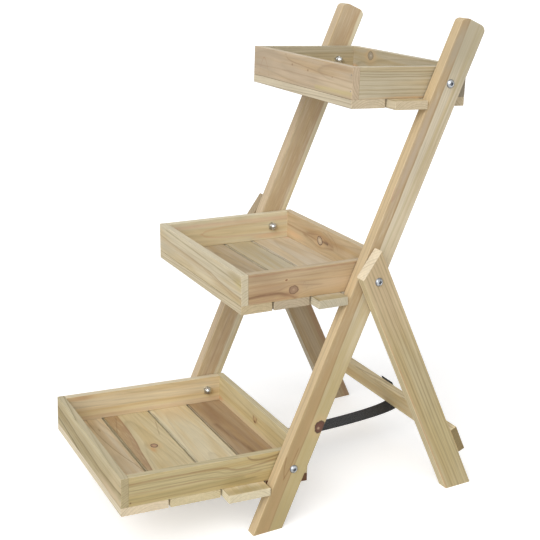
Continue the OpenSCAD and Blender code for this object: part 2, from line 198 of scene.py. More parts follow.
# ---------------------------------------------------------------- timber
# A board's point is in millimetres: x along the grain, y across its width and z through its thickness.
KNOT_LENGTHWISE = 0.8          # a knot's width as a share of its length along the grain
KNOT_REACH = -0.26             # how fast the parted grain closes again past a knot
KNOT_PARTING = -0.86
KNOT_RINGS = [(0.0, 0.5), (0.14, 0.1), (0.4, 0.0), (0.55, 0.4), (0.7, 0.1), (0.92, 0.9)]
KNOT_HALO = (206, 172, 128)
LINE_FADE_SHARE = 0.15         # a grain line fades out past its ends over this share of its length
LINE_FADE = 9.0                # and over this at most
YEAR_RING = [(0.0, 0.24), (0.14, 0.02), (0.5, 0.08), (0.78, 0.45), (0.92, 1.0), (1.0, 0.4)]
TIMBER_BUMP = 0.00025


def knot_group():
    """A knot through the thickness: the grain parts round it, and its heart and rim are masks."""
    group, given, result = new_group(
        "knot",
        [("Point", "Vector"), ("Along", "Float"), ("Across", "Float"), ("Radius", "Float")],
        [("Point", "Vector"), ("Heart", "Float"), ("Rim", "Float"), ("Halo", "Float"), ("Near", "Float")])
    x, y, z = split(group, given["Point"])
    along = math_node(group, "SUBTRACT", x, given["Along"])
    across = math_node(group, "SUBTRACT", y, given["Across"])
    ragged = times(group, noise(group, given["Point"], 0.16), 0.5, -0.25)
    away = vector_node(group, "LENGTH", join(group, times(group, along, KNOT_LENGTHWISE), across, 0.0))
    near = math_node(group, "DIVIDE", away, given["Radius"])
    share = math_node(group, "ADD", near, ragged)
    fall = math_node(group, "EXPONENT", times(group, times(group, near, near), KNOT_REACH))
    parted = times(group, across, times(group, fall, KNOT_PARTING, 1.0), given["Across"])
    put(group, result["Point"], join(group, x, parted, z))
    put(group, result["Heart"], span(group, share, 1.05, 0.85))
    outer = span(group, share, 1.14, 0.98)
    inner = span(group, share, 0.96, 0.78)
    put(group, result["Rim"], math_node(group, "SUBTRACT", outer, inner, clamp=True))
    put(group, result["Halo"], span(group, near, 3.0, 1.0))
    put(group, result["Near"], share)
    return group


def streak_group():
    """Mask of a grain line at Line, across; it falls to half at Above and Below from there."""
    group, given, result = new_group(
        "streak",
        [("Point", "Vector"), ("Line", "Float"), ("Above", "Float"), ("Below", "Float"),
         ("Start", "Float"), ("End", "Float")],
        [("Mask", "Float")])
    x, y, z = split(group, given["Point"])
    waver = noise(group, vector_node(group, "MULTIPLY", given["Point"], (0.02, 0.05, 0.02)), 1.0)
    away = math_node(group, "SUBTRACT", y, given["Line"])
    away = math_node(group, "ADD", away, times(group, waver, 2.0, -1.0))
    above = span(group, away, times(group, given["Above"], 2.0), 0.0)
    below = span(group, times(group, away, -1.0), times(group, given["Below"], 2.0), 0.0)
    fade = times(group, math_node(group, "SUBTRACT", given["End"], given["Start"]), LINE_FADE_SHARE)
    fade = math_node(group, "MINIMUM", fade, LINE_FADE)
    opening = span(group, x, math_node(group, "SUBTRACT", given["Start"], fade), given["Start"])
    closing = span(group, x, math_node(group, "ADD", given["End"], fade), given["End"])
    mask = times(group, times(group, above, below), times(group, opening, closing))
    broken = noise(group, vector_node(group, "MULTIPLY", given["Point"], (0.035, 0.3, 0.3)), 1.0, 3.0, 0.6)
    put(group, result["Mask"], times(group, mask, span(group, broken, 0.2, 0.6, 0.45, 1.0)))
    return group


def patch_group():
    """Mask of a soft oval patch of another tone."""
    group, given, result = new_group(
        "patch",
        [("Point", "Vector"), ("Middle", "Vector"), ("Reach", "Vector")],
        [("Mask", "Float")])
    away = vector_node(group, "DIVIDE", vector_node(group, "SUBTRACT", given["Point"], given["Middle"]),
                       given["Reach"])
    uneven = noise(group, vector_node(group, "MULTIPLY", given["Point"], (0.03, 0.12, 0.12)), 1.0, 3.0, 0.6)
    away = times(group, uneven, 0.7, vector_node(group, "LENGTH", away))
    put(group, result["Mask"], span(group, away, 1.45, 0.5))
    return group


def timber_group():
    """Growth rings about a pith beside the board, with fibres, sawn ends and worn arrises.

    Point is the place on the board, and Grown the same with the grain parted round the knots.
    """
    group, given, result = new_group(
        "timber",
        [("Point", "Vector"), ("Grown", "Vector"), ("Half size", "Vector"), ("Sawn end", "Float"),
         ("Edge", "Float"), ("Pith", "Vector"), ("Slope", "Vector"), ("Spacing", "Float"),
         ("Wander", "Float"), ("Seed", "Float"), ("Contrast", "Float"), ("Light", "Color"),
         ("Dark", "Color"), ("Tint", "Color")],
        [("Color", "Color"), ("Roughness", "Float"), ("Height", "Float")])
    seed = given["Seed"]
    shift = join(group, seed, times(group, seed, 1.7), 0.0)
    x, y, z = split(group, given["Grown"])
    pith = split(group, given["Pith"])
    slope = split(group, given["Slope"])

    def grained(place, scale, detail, roughness, output="Fac"):
        """Noise that is drawn out along the grain, another for each seed."""
        drawn = vector_node(group, "MULTIPLY", given[place], scale)
        return noise(group, vector_node(group, "ADD", drawn, shift), 1.0, detail, roughness, output)

    slow = grained("Grown", (0.0045, 0.012, 0.012), 2.0, 0.45, "Color")
    slow = split(group, vector_node(group, "SUBTRACT", slow, (0.5, 0.5, 0.5)))
    quick = grained("Grown", (0.02, 0.05, 0.05), 1.0, 0.5)
    from_pith = []
    for place, middle, rise, bend in ((y, pith[1], slope[1], slow[0]), (z, pith[2], slope[2], slow[1])):
        away = math_node(group, "SUBTRACT", place, middle)
        away = math_node(group, "SUBTRACT", away, times(group, x, rise))
        from_pith.append(times(group, bend, given["Wander"], away))
    radius = vector_node(group, "LENGTH", join(group, 0.0, *from_pith))
    radius = times(group, quick, 1.2, radius)

    rings = math_node(group, "DIVIDE", radius, given["Spacing"])
    years = times(group, rings, 0.37, seed)
    uneven = noise(group, join(group, years, 0.0, 0.0), 1.0, 1.0)
    rings = times(group, uneven, 2.2, rings)
    white = group.nodes.new("ShaderNodeTexWhiteNoise")
    white.noise_dimensions = "2D"
    put(group, white.inputs["Vector"], join(group, math_node(group, "FLOOR", rings), seed, 0.0))
    profile = ramp(group, math_node(group, "FRACT", rings), YEAR_RING)
    latewood = times(group, profile, times(group, white.outputs["Value"], 0.8, 0.2))

    fibre = grained("Grown", (0.018, 0.75, 0.75), 3.0, 0.65)
    middling = grained("Grown", (0.008, 0.28, 0.28), 3.0, 0.6)
    wide = grained("Grown", (0.0035, 0.06, 0.06), 2.0, 0.5)
    cloud = grained("Point", (0.012, 0.03, 0.03), 3.0, 0.55)
    fleck = grained("Point", (0.07, 0.9, 0.9), 2.0, 0.5)

    sawn_end = given["Sawn end"]
    contrast = times(group, sawn_end, 0.2, given["Contrast"])
    contrast = times(group, given["Edge"], 0.35, contrast)
    share = math_node(group, "MULTIPLY", latewood, contrast, clamp=True)
    tinted = blend_colours(group, span(group, wide, 0.42, 0.62), given["Light"], given["Tint"])
    colour = blend_colours(group, share, tinted, given["Dark"])

    inside = split(group, vector_node(
        group, "SUBTRACT", given["Half size"], vector_node(group, "ABSOLUTE", given["Point"])))
    total = math_node(group, "ADD", math_node(group, "ADD", inside[0], inside[1]), inside[2])
    largest = math_node(group, "MAXIMUM", math_node(group, "MAXIMUM", inside[0], inside[1]), inside[2])
    least = math_node(group, "MINIMUM", math_node(group, "MINIMUM", inside[0], inside[1]), inside[2])
    to_arris = math_node(group, "SUBTRACT", math_node(group, "SUBTRACT", total, largest), least)
    to_arris = times(group, noise(group, given["Point"], 0.11, 3.0, 0.6), 3.0, to_arris)
    worn = span(group, to_arris, 2.9, 1.2)

    level = times(group, cloud, 0.22, 0.89)
    level = times(group, level, times(group, fibre, 0.24, 0.88))
    level = times(group, level, times(group, middling, 0.3, 0.85))
    level = times(group, level, span(group, fleck, 0.66, 0.78, 1.0, 0.84))
    level = times(group, level, times(group, sawn_end, -0.04, 1.0))
    level = times(group, worn, 0.05, level)
    level = join(group, level, level, level)
    put(group, result["Color"], blend_colours(group, 1.0, colour, level, "MULTIPLY"))
    roughness = times(group, latewood, -0.14, 0.68)
    roughness = times(group, sawn_end, 0.16, roughness)
    put(group, result["Roughness"], times(group, worn, 0.06, roughness))
    put(group, result["Height"], times(group, latewood, 0.45, times(group, fibre, 0.9)))
    return group


KNOT = knot_group()
STREAK = streak_group()
PATCH = patch_group()
TIMBER = timber_group()

# Tray pivots as (y, z), and the slope of each tray, from the part's source.
PIVOT = {"bottom": (-35.107, 100.406), "middle": (111.993, 398.040), "top": (256.877, 691.191)}
TILT = {"bottom": 4.2, "middle": 2.5, "top": 4.4}
FRONT_LEAN = 63.7
REAR_LEAN = 68.5


def tray_axes(tray):
    """The tray's own x, y and z directions in the part's frame."""
    angle = math.radians(TILT[tray])
    back = Vector((0, math.cos(angle), -math.sin(angle)))
    up = Vector((0, math.sin(angle), math.cos(angle)))
    return Vector((1, 0, 0)), back, up


def tray_place(tray, x, y, z):
    side, back, up = tray_axes(tray)
    return Vector((0, *PIVOT[tray])) + x * side + y * back + z * up


def leg_axes(rear):
    """Along the leg, up a front one and down a rear one, and square to it towards the rear."""
    if rear:
        angle = math.radians(REAR_LEAN)
        return Vector((0, math.cos(angle), -math.sin(angle))), Vector((0, math.sin(angle), math.cos(angle)))
    angle = math.radians(FRONT_LEAN)
    return Vector((0, math.cos(angle), math.sin(angle))), Vector((0, math.sin(angle), -math.cos(angle)))


def rear_place(down, behind):
    """A point in the side view, by its place on the rear leg from the middle bolt."""
    along, back = leg_axes(True)
    return Vector((0, *PIVOT["middle"])) + down * along + behind * back


def board_place(tree, vector, turn, origin=None):
    """The vector in a board's own axes; with an origin, a place in millimetres from there."""
    node = tree.nodes.new("ShaderNodeMapping")
    node.vector_type = "TEXTURE"
    node.inputs["Rotation"].default_value = turn
    if origin is not None:
        node.inputs["Location"].default_value = origin * MM
        node.inputs["Scale"].default_value = (MM, MM, MM)
    put(tree, node.inputs["Vector"], vector)
    return node.outputs[0]


def line_place(tree, along, points):
    """The place across of a grain line through the points, which are pairs (along, across)."""
    places = [point[1] for point in points]
    low = min(places) - 1
    high = max(places) + 1
    start = points[0][0]
    end = points[-1][0]
    node = tree.nodes.new("ShaderNodeFloatCurve")
    curve = node.mapping.curves[0]
    while len(curve.points) < len(points):
        curve.points.new(0.5, 0.5)
    for mark, (x, y) in zip(curve.points, points):
        mark.location = ((x - start) / (end - start), (y - low) / (high - low))
    node.mapping.update()
    share = tree.nodes.new("ShaderNodeMapRange")
    for socket, number in zip(share.inputs, (along, start, end, 0.0, 1.0)):
        put(tree, socket, number)
    put(tree, node.inputs["Value"], share.outputs[0])
    return times(tree, node.outputs[0], high - low, low)


def dimmed(colour, share):
    """A darker, slightly warmer version of a tone."""
    return [channel * (share - fall) for channel, fall in zip(colour, (0.0, 0.03, 0.09))]


def lighter(colour):
    """The paler, greyer tone of a board's narrow edges."""
    return [channel + 0.4 * (pale - channel) for channel, pale in zip(colour, (212, 204, 180))]


def wood(node, centre, grain, width, size, colour, datum=(0, 0), lines=(), patches=(), knots=(), spots=(),
         seed=1.0, pith=(8, -60), slope=(0.02, 0.04), spacing=4.0, wander=5.0, contrast=0.4,
         dark=None, edge=None, end=None):
    """The node's own timber. centre and size (length, width, thickness) are in millimetres.

    lines are (points, above, below, colour, strength), patches (along, across, length, width,
    colour, strength) and knots (along, across, radius, heart colour, rim colour), with places
    along and across the grain measured from the datum. spots are patches over the knots. Lines,
    patches and spots show on the two broad faces.
    """
    material, tree, shader = new_material(node + "_timber")
    turn = Matrix((grain, width, grain.cross(width))).transposed().to_euler()
    coordinates = tree.nodes.new("ShaderNodeTexCoord").outputs
    from_middle = board_place(tree, coordinates["Object"], turn, centre)
    place = board_place(tree, coordinates["Object"], turn, centre + datum[0] * grain + datum[1] * width)
    facing = board_place(tree, coordinates["Normal"], turn)
    facing = split(tree, vector_node(tree, "ABSOLUTE", facing))
    sawn_end = span(tree, facing[0], 0.55, 0.85)
    on_edge = span(tree, facing[1], 0.5, 0.85)
    on_face = span(tree, facing[2], 0.5, 0.85)
    ground = blend_colours(tree, on_edge, tone(*colour), tone(*(edge or lighter(colour))))
    ground = blend_colours(tree, sawn_end, ground, tone(*(end or colour)))
    ring_tone = tone(*(dark or dimmed(colour, 0.74)))
    if end:
        ring_tone = blend_colours(tree, sawn_end, ring_tone, tone(*dimmed(end, 0.84)))

    grown = place
    knot_masks = []
    for along, across, radius, heart, rim in knots:
        masks = use_group(tree, KNOT, {"Point": grown, "Along": along, "Across": across, "Radius": radius})
        grown = masks["Point"]
        knot_masks.append((masks, heart, rim))

    parts = use_group(tree, TIMBER, {
        "Point": from_middle,
        "Grown": grown,
        "Half size": [length / 2 for length in size],
        "Sawn end": sawn_end,
        "Edge": on_edge,
        "Pith": (0, *pith),
        "Slope": (0, *slope),
        "Spacing": spacing,
        "Wander": wander,
        "Seed": seed,
        "Contrast": contrast,
        "Light": ground,
        "Dark": ring_tone,
        "Tint": blend_colours(tree, on_face, ground, tone(*dimmed(colour, 0.97)))})

    def with_patches(shown, marks):
        for along, across, length, breadth, mark_colour, strength in marks:
            mask = use_group(tree, PATCH, {"Point": place, "Middle": (along, across, 0),
                                           "Reach": (length, breadth, 1000)})["Mask"]
            shown = paint(tree, shown, times(tree, mask, on_face), strength, mark_colour)
        return shown

    shown = with_patches(parts["Color"], patches)
    for points, above, below, line_colour, strength in lines:
        line = line_place(tree, split(tree, place)[0], points)
        mask = use_group(tree, STREAK, {"Point": place, "Line": line, "Above": above, "Below": below,
                                        "Start": points[0][0], "End": points[-1][0]})["Mask"]
        shown = paint(tree, shown, times(tree, mask, on_face), strength, line_colour)
    for masks, heart, rim in knot_masks:
        shown = paint(tree, shown, masks["Halo"], 0.3, KNOT_HALO)
        ringed = blend_colours(tree, ramp(tree, masks["Near"], KNOT_RINGS), tone(*heart), tone(*rim))
        shown = blend_colours(tree, masks["Heart"], shown, ringed)
        shown = paint(tree, shown, masks["Rim"], 0.8, rim)
    put(tree, shader.inputs["Base Color"], with_patches(shown, spots))
    put(tree, shader.inputs["Roughness"], parts["Roughness"])
    put(tree, shader.inputs["Normal"], bump(tree, parts["Height"], TIMBER_BUMP, 0.6))
    shader.inputs["IOR"].default_value = 1.45
    shader.inputs["Specular IOR Level"].default_value = 0.35
    give(material, [node])


# Sizes in millimetres, and the front and rear of each tray in its own y from its bolt.
FRONTS = {"bottom": -282, "middle": -215.5, "top": -162.5}
REARS = {"bottom": 38, "middle": 44.5, "top": 45}
TRAY_WIDTH = 349
BOARD_HEIGHT = 49
BOARD_THICK = 12.5
BOARD_MIDDLE = TRAY_WIDTH / 2 - BOARD_THICK / 2
SLAT_THICK = 14
SLAT_MIDDLE = -BOARD_HEIGHT / 2 - SLAT_THICK / 2
STOP_LENGTH = 399.5
LEG_SIZE = (2000, 47, 22)      # longer than any leg, because it is counted from the middle bolt
RAIL_SIZE = (443, 48, 12.5)
RIGHT = ("right", 1)
LEFT = ("left", -1)


def cross_board(name, tray, y, colour, **look):
    """A front or rear board. Read along x, and across from its middle upwards."""
    side, back, up = tray_axes(tray)
    wood(tray + name, tray_place(tray, 0, y, 0), side, up, (TRAY_WIDTH, BOARD_HEIGHT, BOARD_THICK),
         colour, **look)


def front_board(tray, colour, **look):
    cross_board("_front_board", tray, FRONTS[tray] + BOARD_THICK / 2, colour, **look)


def rear_board(tray, colour, **look):
    cross_board("_rear_board", tray, REARS[tray] - BOARD_THICK / 2, colour, **look)


def side_board(tray, side, colour, **look):
    """Read along the tray's y from its bolt, and across from its middle upwards."""
    name, sign = side
    across, back, up = tray_axes(tray)
    front = FRONTS[tray] + BOARD_THICK
    rear = REARS[tray] - BOARD_THICK
    middle = (front + rear) / 2
    wood(f"{tray}_{name}_side", tray_place(tray, sign * BOARD_MIDDLE, middle, 0), back, up,
         (rear - front, BOARD_HEIGHT, BOARD_THICK), colour, datum=(-middle, 0), **look)


def slat(node, front, rear, colour, length=TRAY_WIDTH, lines=(), **look):
    """Read along x, and across in the tray's y from its bolt. Its long arrises get dark lines of painted
    shade for the gaps between slats.
    """
    tray = node.split("_")[0]
    side, back, up = tray_axes(tray)
    middle = (front + rear) / 2
    gap_shade_tone = dimmed(colour, 0.52)
    # Dark lines along both long arrises: painted shade of the gaps between the slats.
    arrises = [([(-200, place), (200, place)], 1.2, 1.2, gap_shade_tone, 0.9) for place in (front, rear)]
    wood(node, tray_place(tray, 0, middle, SLAT_MIDDLE), side, back, (length, rear - front, SLAT_THICK),
         colour, datum=(0, -middle), lines=[*lines, *arrises], **look)


def leg(node, x, rear, colour, **look):
    """Read along from the middle bolt, and across towards the rear."""
    along, behind = leg_axes(rear)
    wood(node, Vector((x, *PIVOT["middle"])), along, behind, LEG_SIZE, colour, **look)


MOSS = (104, 91, 54)
OLIVE = (112, 99, 60)
REED = (132, 116, 76)
BROWN = (132, 98, 64)
RUST = (148, 98, 68)
FAINT = (156, 138, 100)
PINK = (206, 174, 144)
ORANGE = (212, 152, 98)
RIM = (96, 62, 44)

# Where the darker heartwood begins on the near front leg.
HEART_LINE = [(-480, 3), (-350, -1.5), (-250, -1.5), (-100, -4.5), (100, -6.5), (300, -8), (440, -11)]

leg(
    "right_front_leg", 187, False, (199, 187, 163), seed=4, pith=(-70, 30), spacing=4.5, contrast=0.42,
    edge=(205, 182, 144), end=(205, 184, 144),
    lines=[
        (HEART_LINE, 0.8, 40, (172, 144, 104), 0.85), (HEART_LINE, 0.5, 1.6, (140, 114, 74), 0.5),
        ([(-480, 12), (-200, 8), (-60, 11)], 1.5, 3, (176, 156, 108), 0.4),
        ([(20, 2), (150, 7), (300, 12), (440, 17)], 1.0, 2.5, (172, 158, 118), 0.45),
        ([(60, 14), (200, 16), (440, 21)], 0.8, 2, (170, 156, 118), 0.35),
        ([(-350, -10.5), (-338, -8.4), (-300, -6.2)], 0.8, 1.0, BROWN, 0.6),
        ([(-350, -10.5), (-338, -16), (-318, -21)], 0.8, 1.0, BROWN, 0.6),
        ([(125, -19), (131, -16), (145, -14)], 0.8, 1.0, (176, 128, 108), 0.5),
        ([(125, -19), (131, -21), (145, -22.5)], 0.8, 1.0, (176, 128, 108), 0.5)],
    patches=[
        (-380, 14, 460, 120, (177, 159, 109), 0.8), (-320, -13, 300, 13, (146, 122, 80), 0.6),
        (395, 0, 90, 60, (166, 156, 130), 0.65), (53, -20, 7, 2, (164, 118, 90), 0.5),
        (-66, -21, 22, 2, BROWN, 0.55), (180, -15, 110, 7, (184, 152, 128), 0.5),
        (75, 4, 120, 60, (222, 208, 180), 0.4), (-420, 0, 70, 60, (150, 134, 94), 0.35),
        (-90, 13, 70, 12, (216, 204, 176), 0.4)],
    knots=[(-254, 15.5, 8.5, (108, 74, 60), (72, 48, 40))],
    spots=[
        (-257, 14.5, 3.4, 3.4, (178, 152, 122), 0.75), (205, -15, 150, 8, (182, 168, 150), 0.6),
        (385, -15, 60, 11, (165, 156, 138), 0.6)])
leg(
    "left_front_leg", -187, False, (213, 202, 174), seed=3, pith=(-60, -45), spacing=4, contrast=0.42,
    edge=(201, 180, 150),
    lines=[
        ([(-480, 8), (-200, 9), (0, 12), (440, 14)], 1.2, 44, (176, 146, 112), 0.75),
        ([(-400, -8), (-200, -6), (0, -5)], 0.8, 1.2, BROWN, 0.3)],
    patches=[(330, -5, 90, 18, (166, 144, 106), 0.5)])
leg(
    "right_rear_leg", 210.5, True, (185, 170, 134), seed=6, pith=(-85, 60), slope=(-0.006, 0), spacing=5.0,
    wander=3, contrast=0.62, dark=(138, 116, 76), edge=(211, 196, 158), end=(234, 219, 190),
    lines=[
        ([(-60, 18), (150, 19), (430, 21)], 0.8, 1.3, OLIVE, 0.38),
        ([(-60, 12), (150, 14), (430, 17)], 0.6, 0.9, OLIVE, 0.25),
        ([(-60, 7), (150, 9), (430, 12)], 0.8, 1.3, OLIVE, 0.4),
        ([(-60, 1), (150, 3), (430, 6)], 0.6, 0.9, OLIVE, 0.28),
        ([(-60, -5), (150, -3), (430, 1)], 0.8, 1.3, OLIVE, 0.4),
        ([(-60, -11), (150, -9), (430, -5)], 0.6, 0.9, OLIVE, 0.28),
        ([(-60, -17), (150, -14), (430, -10)], 0.8, 1.3, OLIVE, 0.4),
        ([(60, -23), (200, -22.5), (430, -22)], 1.2, 2, (186, 138, 104), 0.5)],
    patches=[
        (-10, 0, 150, 60, (198, 176, 146), 0.55), (330, 4, 130, 36, (176, 160, 112), 0.4),
        (75, 17, 100, 10, (226, 210, 176), 0.25)])
leg(
    "left_rear_leg", -210.5, True, (173, 155, 127), seed=5, pith=(70, 40), spacing=4.5, contrast=0.45,
    lines=[([(-60, 14), (430, 15)], 12, 2, (150, 110, 84), 0.45)])
# The rail's sawn ends have a dark tone, which is painted shade.
wood(
    "rear_cross_rail", rear_place(345, 29.75), Vector((1, 0, 0)), leg_axes(True)[0], RAIL_SIZE,
    (224, 204, 160), seed=7, pith=(-70, -30), spacing=3, contrast=0.45, end=(136, 119, 84))

front_board(
    "bottom", (179, 164, 128), seed=10, pith=(-58, -36), spacing=3.8, contrast=0.6, dark=(128, 114, 78),
    lines=[
        ([(-178, 7), (-110, 5), (-60, 1), (30, -2.6), (80, -4.6), (178, -0.4)], 1.1, 1.8, MOSS, 0.95),
        ([(-178, 6), (-110, 4), (-60, 0), (30, -3), (80, -5), (178, -1)], 1, 9, (146, 128, 86), 0.75),
        ([(-178, -11), (-100, -17), (-20, -25)], 1.1, 2.6, MOSS, 0.9),
        ([(-178, 0), (-90, -4), (0, -10), (60, -13)], 0.7, 1.0, OLIVE, 0.4),
        ([(-178, -5), (-90, -11), (-10, -18)], 0.7, 1.0, OLIVE, 0.35),
        ([(-178, 15), (-60, 12), (178, 10)], 0.7, 0.9, FAINT, 0.4),
        ([(-50, 17), (60, 17.5), (178, 16.5)], 0.7, 0.8, FAINT, 0.4)],
    patches=[
        (120, -16, 80, 12, (210, 186, 156), 0.6), (0, 20, 240, 8, (204, 194, 160), 0.5),
        (160, 0, 60, 50, (216, 200, 166), 0.33), (-50, -16, 80, 10, (150, 134, 96), 0.4)])
rear_board(
    "bottom", (208, 194, 154), seed=20, pith=(30, -50), spacing=4, contrast=0.42,
    lines=[
        ([(-165, -3), (165, -3)], 0.8, 0.8, FAINT, 0.35), ([(-165, -21), (165, -21)], 4, 6, PINK, 0.4),
        ([(-165, 9), (165, 8)], 0.8, 1.6, FAINT, 0.3)],
    patches=[(-158, -18, 22, 6, ORANGE, 0.6), (-3, -1, 14, 10, (176, 134, 94), 0.5)],
    spots=[
        (-10, 1.5, 2.0, 6, (120, 78, 52), 0.75), (3, 1.5, 2.0, 5, (130, 88, 60), 0.7),
        (-4, -5, 6.5, 3.2, (104, 64, 44), 0.85)])
side_board(
    "bottom", RIGHT, (188, 172, 130), seed=40, pith=(-56, -30), spacing=3.3, contrast=0.5,
    dark=(130, 116, 72),
    lines=[
        ([(-272, 13.5), (-120, 13), (-96, 7), (-80, 5), (-60, 7), (-30, 11), (26, 20)], 1, 2.2, BROWN, 0.55),
        ([(-72, 26), (-66, 19), (-58, 16.5), (-40, 16), (-16, 19)], 1.2, 1.8, (112, 84, 52), 0.65),
        ([(-272, 9.5), (-130, 8), (-100, 2), (-60, 2), (26, 10)], 0.7, 1.1, OLIVE, 0.4),
        ([(-272, 2), (-150, 1), (-90, -3), (26, 3)], 0.7, 1.0, OLIVE, 0.35),
        ([(-272, -4.5), (-150, -2.6), (-90, -6), (-50, -4)], 0.9, 1.2, (152, 122, 82), 0.55),
        ([(-272, -12), (-200, -12), (-150, -9.5), (-80, -8)], 1, 3.5, (148, 137, 94), 0.6),
        ([(-272, -18), (-150, -17), (-60, -14)], 0.8, 1.4, OLIVE, 0.35)],
    patches=[(-80, -17, 45, 7, (150, 134, 90), 0.55), (-267, -18, 2.5, 2.5, RIM, 0.7)])
side_board(
    "bottom", LEFT, (224, 208, 176), seed=30, pith=(40, -60), spacing=4, contrast=0.3,
    lines=[
        ([(-272, -7), (26, -6)], 2, 2.5, (200, 172, 118), 0.4),
        ([(-272, -19), (26, -19)], 3, 6, PINK, 0.35),
        ([(-272, -11), (26, -10)], 1.5, 3, (226, 208, 160), 0.5)],
    patches=[(-240, 20, 30, 6, (188, 142, 108), 0.5)])
# This slat's colour is raised to lighten the front board's shadow on it, which is painted light.
slat(
    "bottom_slat_1", -282, -204.5, (221, 204, 174), seed=51, pith=(-230, -55), spacing=4.5, contrast=0.42,
    lines=[
        ([(-175, -234), (-90, -232), (0, -220), (50, -209), (90, -202)], 0.9, 1, BROWN, 0.55),
        ([(-175, -233), (-90, -231), (0, -219), (50, -208), (90, -201)], 8, 0.8, (180, 156, 118), 0.3)],
    patches=[(-113, -225, 8, 2, BROWN, 0.5)])
slat(
    "bottom_slat_2", -201.5, -116.7, (208, 193, 155), seed=52, pith=(-165, -60), spacing=3.5, contrast=0.38,
    lines=[
        ([(-175, -177), (-80, -179), (0, -187), (175, -202)], 1.0, 40, (164, 126, 90), 0.75),
        ([(-175, -177), (-80, -179), (0, -187), (175, -202)], 0.9, 1.2, (140, 104, 72), 0.4),
        ([(-150, -182), (-90, -200)], 0.9, 0.9, BROWN, 0.5),
        ([(-110, -121), (-60, -133)], 0.9, 0.9, BROWN, 0.45)],
    patches=[(-4, -164, 16, 7, (206, 150, 96), 0.5)],
    knots=[(-18, -157.6, 6, (190, 156, 122), (88, 52, 40))])
slat(
    "bottom_stop_slat", -113.7, -40.7, (217, 205, 174), STOP_LENGTH, seed=53, pith=(-80, -48), spacing=3.5,
    contrast=0.36,
    patches=[(-140, -76, 60, 40, (214, 188, 146), 0.5), (192, -76, 16, 60, (168, 151, 104), 0.7)])
slat(
    "bottom_slat_4", -37.7, 38, (173, 150, 120), seed=54, pith=(-12, -40), spacing=4, contrast=0.45,
    dark=(120, 90, 66), end=(112, 80, 58),
    lines=[
        ([(-60, -24), (-20, -20), (70, -8), (174, -2)], 3.2, 4.5, (112, 82, 64), 0.55),
        ([(-174, -6), (0, 4), (174, 12)], 3, 6, (136, 106, 80), 0.4)],
    patches=[(-100, -15, 70, 14, (138, 106, 80), 0.5)])

front_board(
    "middle", (204, 192, 164), seed=11, pith=(-56, -34), spacing=4.2, contrast=0.4, dark=(160, 142, 106),
    lines=[
        ([(-178, 5), (0, -1), (55, -2), (100, -8), (178, -12)], 0.9, 1.8, (132, 108, 74), 0.6),
        ([(-178, 4), (0, -2), (55, -3), (100, -9), (178, -13)], 1, 8, (186, 162, 124), 0.5),
        ([(-140, 20), (0, 16), (110, 12), (178, 9)], 0.9, 1.6, (134, 118, 78), 0.55),
        ([(30, -3), (80, -9), (130, -15), (178, -19)], 0.8, 1.4, (156, 128, 92), 0.4),
        ([(-178, 11), (0, 7), (178, 2)], 0.7, 1.2, FAINT, 0.3)],
    patches=[
        (172, 9, 28, 12, (196, 176, 112), 0.55), (160, -18, 40, 7, (190, 170, 120), 0.4),
        (150, 17, 45, 9, (162, 144, 104), 0.6), (-145, -14, 50, 14, (176, 164, 138), 0.5),
        (-35, 0, 90, 8, (180, 162, 130), 0.4), (30, -16, 60, 8, (224, 212, 182), 0.45)])
rear_board(
    "middle", (202, 180, 146), seed=21, pith=(0, -34), spacing=3.5, contrast=0.42,
    lines=[
        ([(-165, 1), (-90, 0), (-48, -2)], 1.4, 2, (140, 100, 68), 0.5),
        ([(-90, -3), (-60, -8), (-37, -12), (-10, -8), (10, -5)], 1.2, 2.4, (142, 102, 70), 0.45),
        ([(-80, 2), (-56, 6), (-37, 9), (-14, 4), (10, -1)], 1.8, 1.2, (142, 102, 70), 0.45),
        ([(-30, 0.5), (-14, 0.2), (-5, 0)], 2.0, 2.2, (84, 52, 50), 0.8),
        ([(-20, 18), (12, 2), (20, -18)], 1, 1, BROWN, 0.3),
        ([(-4, 20), (28, 2), (36, -20)], 1, 1, BROWN, 0.3)],
    patches=[(-138, -13, 48, 9, (228, 192, 150), 0.6), (-20, 5, 110, 14, (168, 132, 98), 0.5)],
    knots=[(-34, -0.6, 7.6, (214, 194, 166), (80, 50, 50))])
side_board(
    "middle", RIGHT, (185, 162, 129), seed=41, pith=(-46, -34), spacing=3.6, contrast=0.32,
    dark=(146, 112, 82),
    lines=[
        ([(-204, 21.5), (33, 21.5)], 0.8, 1.6, RUST, 0.5),
        ([(-204, -13), (-152, -11.4), (-140, -14.3), (-124, -22)], 1.6, 2.4, (116, 82, 60), 0.75),
        ([(-204, -8), (-160, -8), (-141, -3), (-126, -0.5), (-108, -3), (-80, -6)], 0.8, 1.2,
         (136, 104, 78), 0.4),
        ([(-204, -21), (-140, -21)], 0.8, 1.2, RUST, 0.35),
        ([(-204, 3), (-150, 4), (-120, 3), (33, 1)], 0.8, 1.2, BROWN, 0.2),
        ([(-204, 13), (-90, 12), (33, 13)], 0.8, 1.2, BROWN, 0.2),
        ([(-112, -14), (-104, -9), (-106, 2), (-100, 8)], 0.8, 1.1, BROWN, 0.2)],
    patches=[
        (-134, -15, 22, 8, (128, 94, 72), 0.75), (-170, -6, 45, 22, (160, 128, 98), 0.5),
        (-180, 17, 50, 11, (152, 128, 98), 0.5), (-125, -2, 30, 12, (160, 136, 108), 0.45),
        (-50, -8, 60, 26, (212, 184, 148), 0.45)],
    knots=[
        (-126, -9.3, 6.6, (158, 130, 104), (122, 94, 74)),
        (-138.5, 6.8, 1.6, (150, 110, 80), (110, 78, 58))],
    spots=[(-126, -9, 2.6, 2.2, (186, 158, 128), 0.7)])
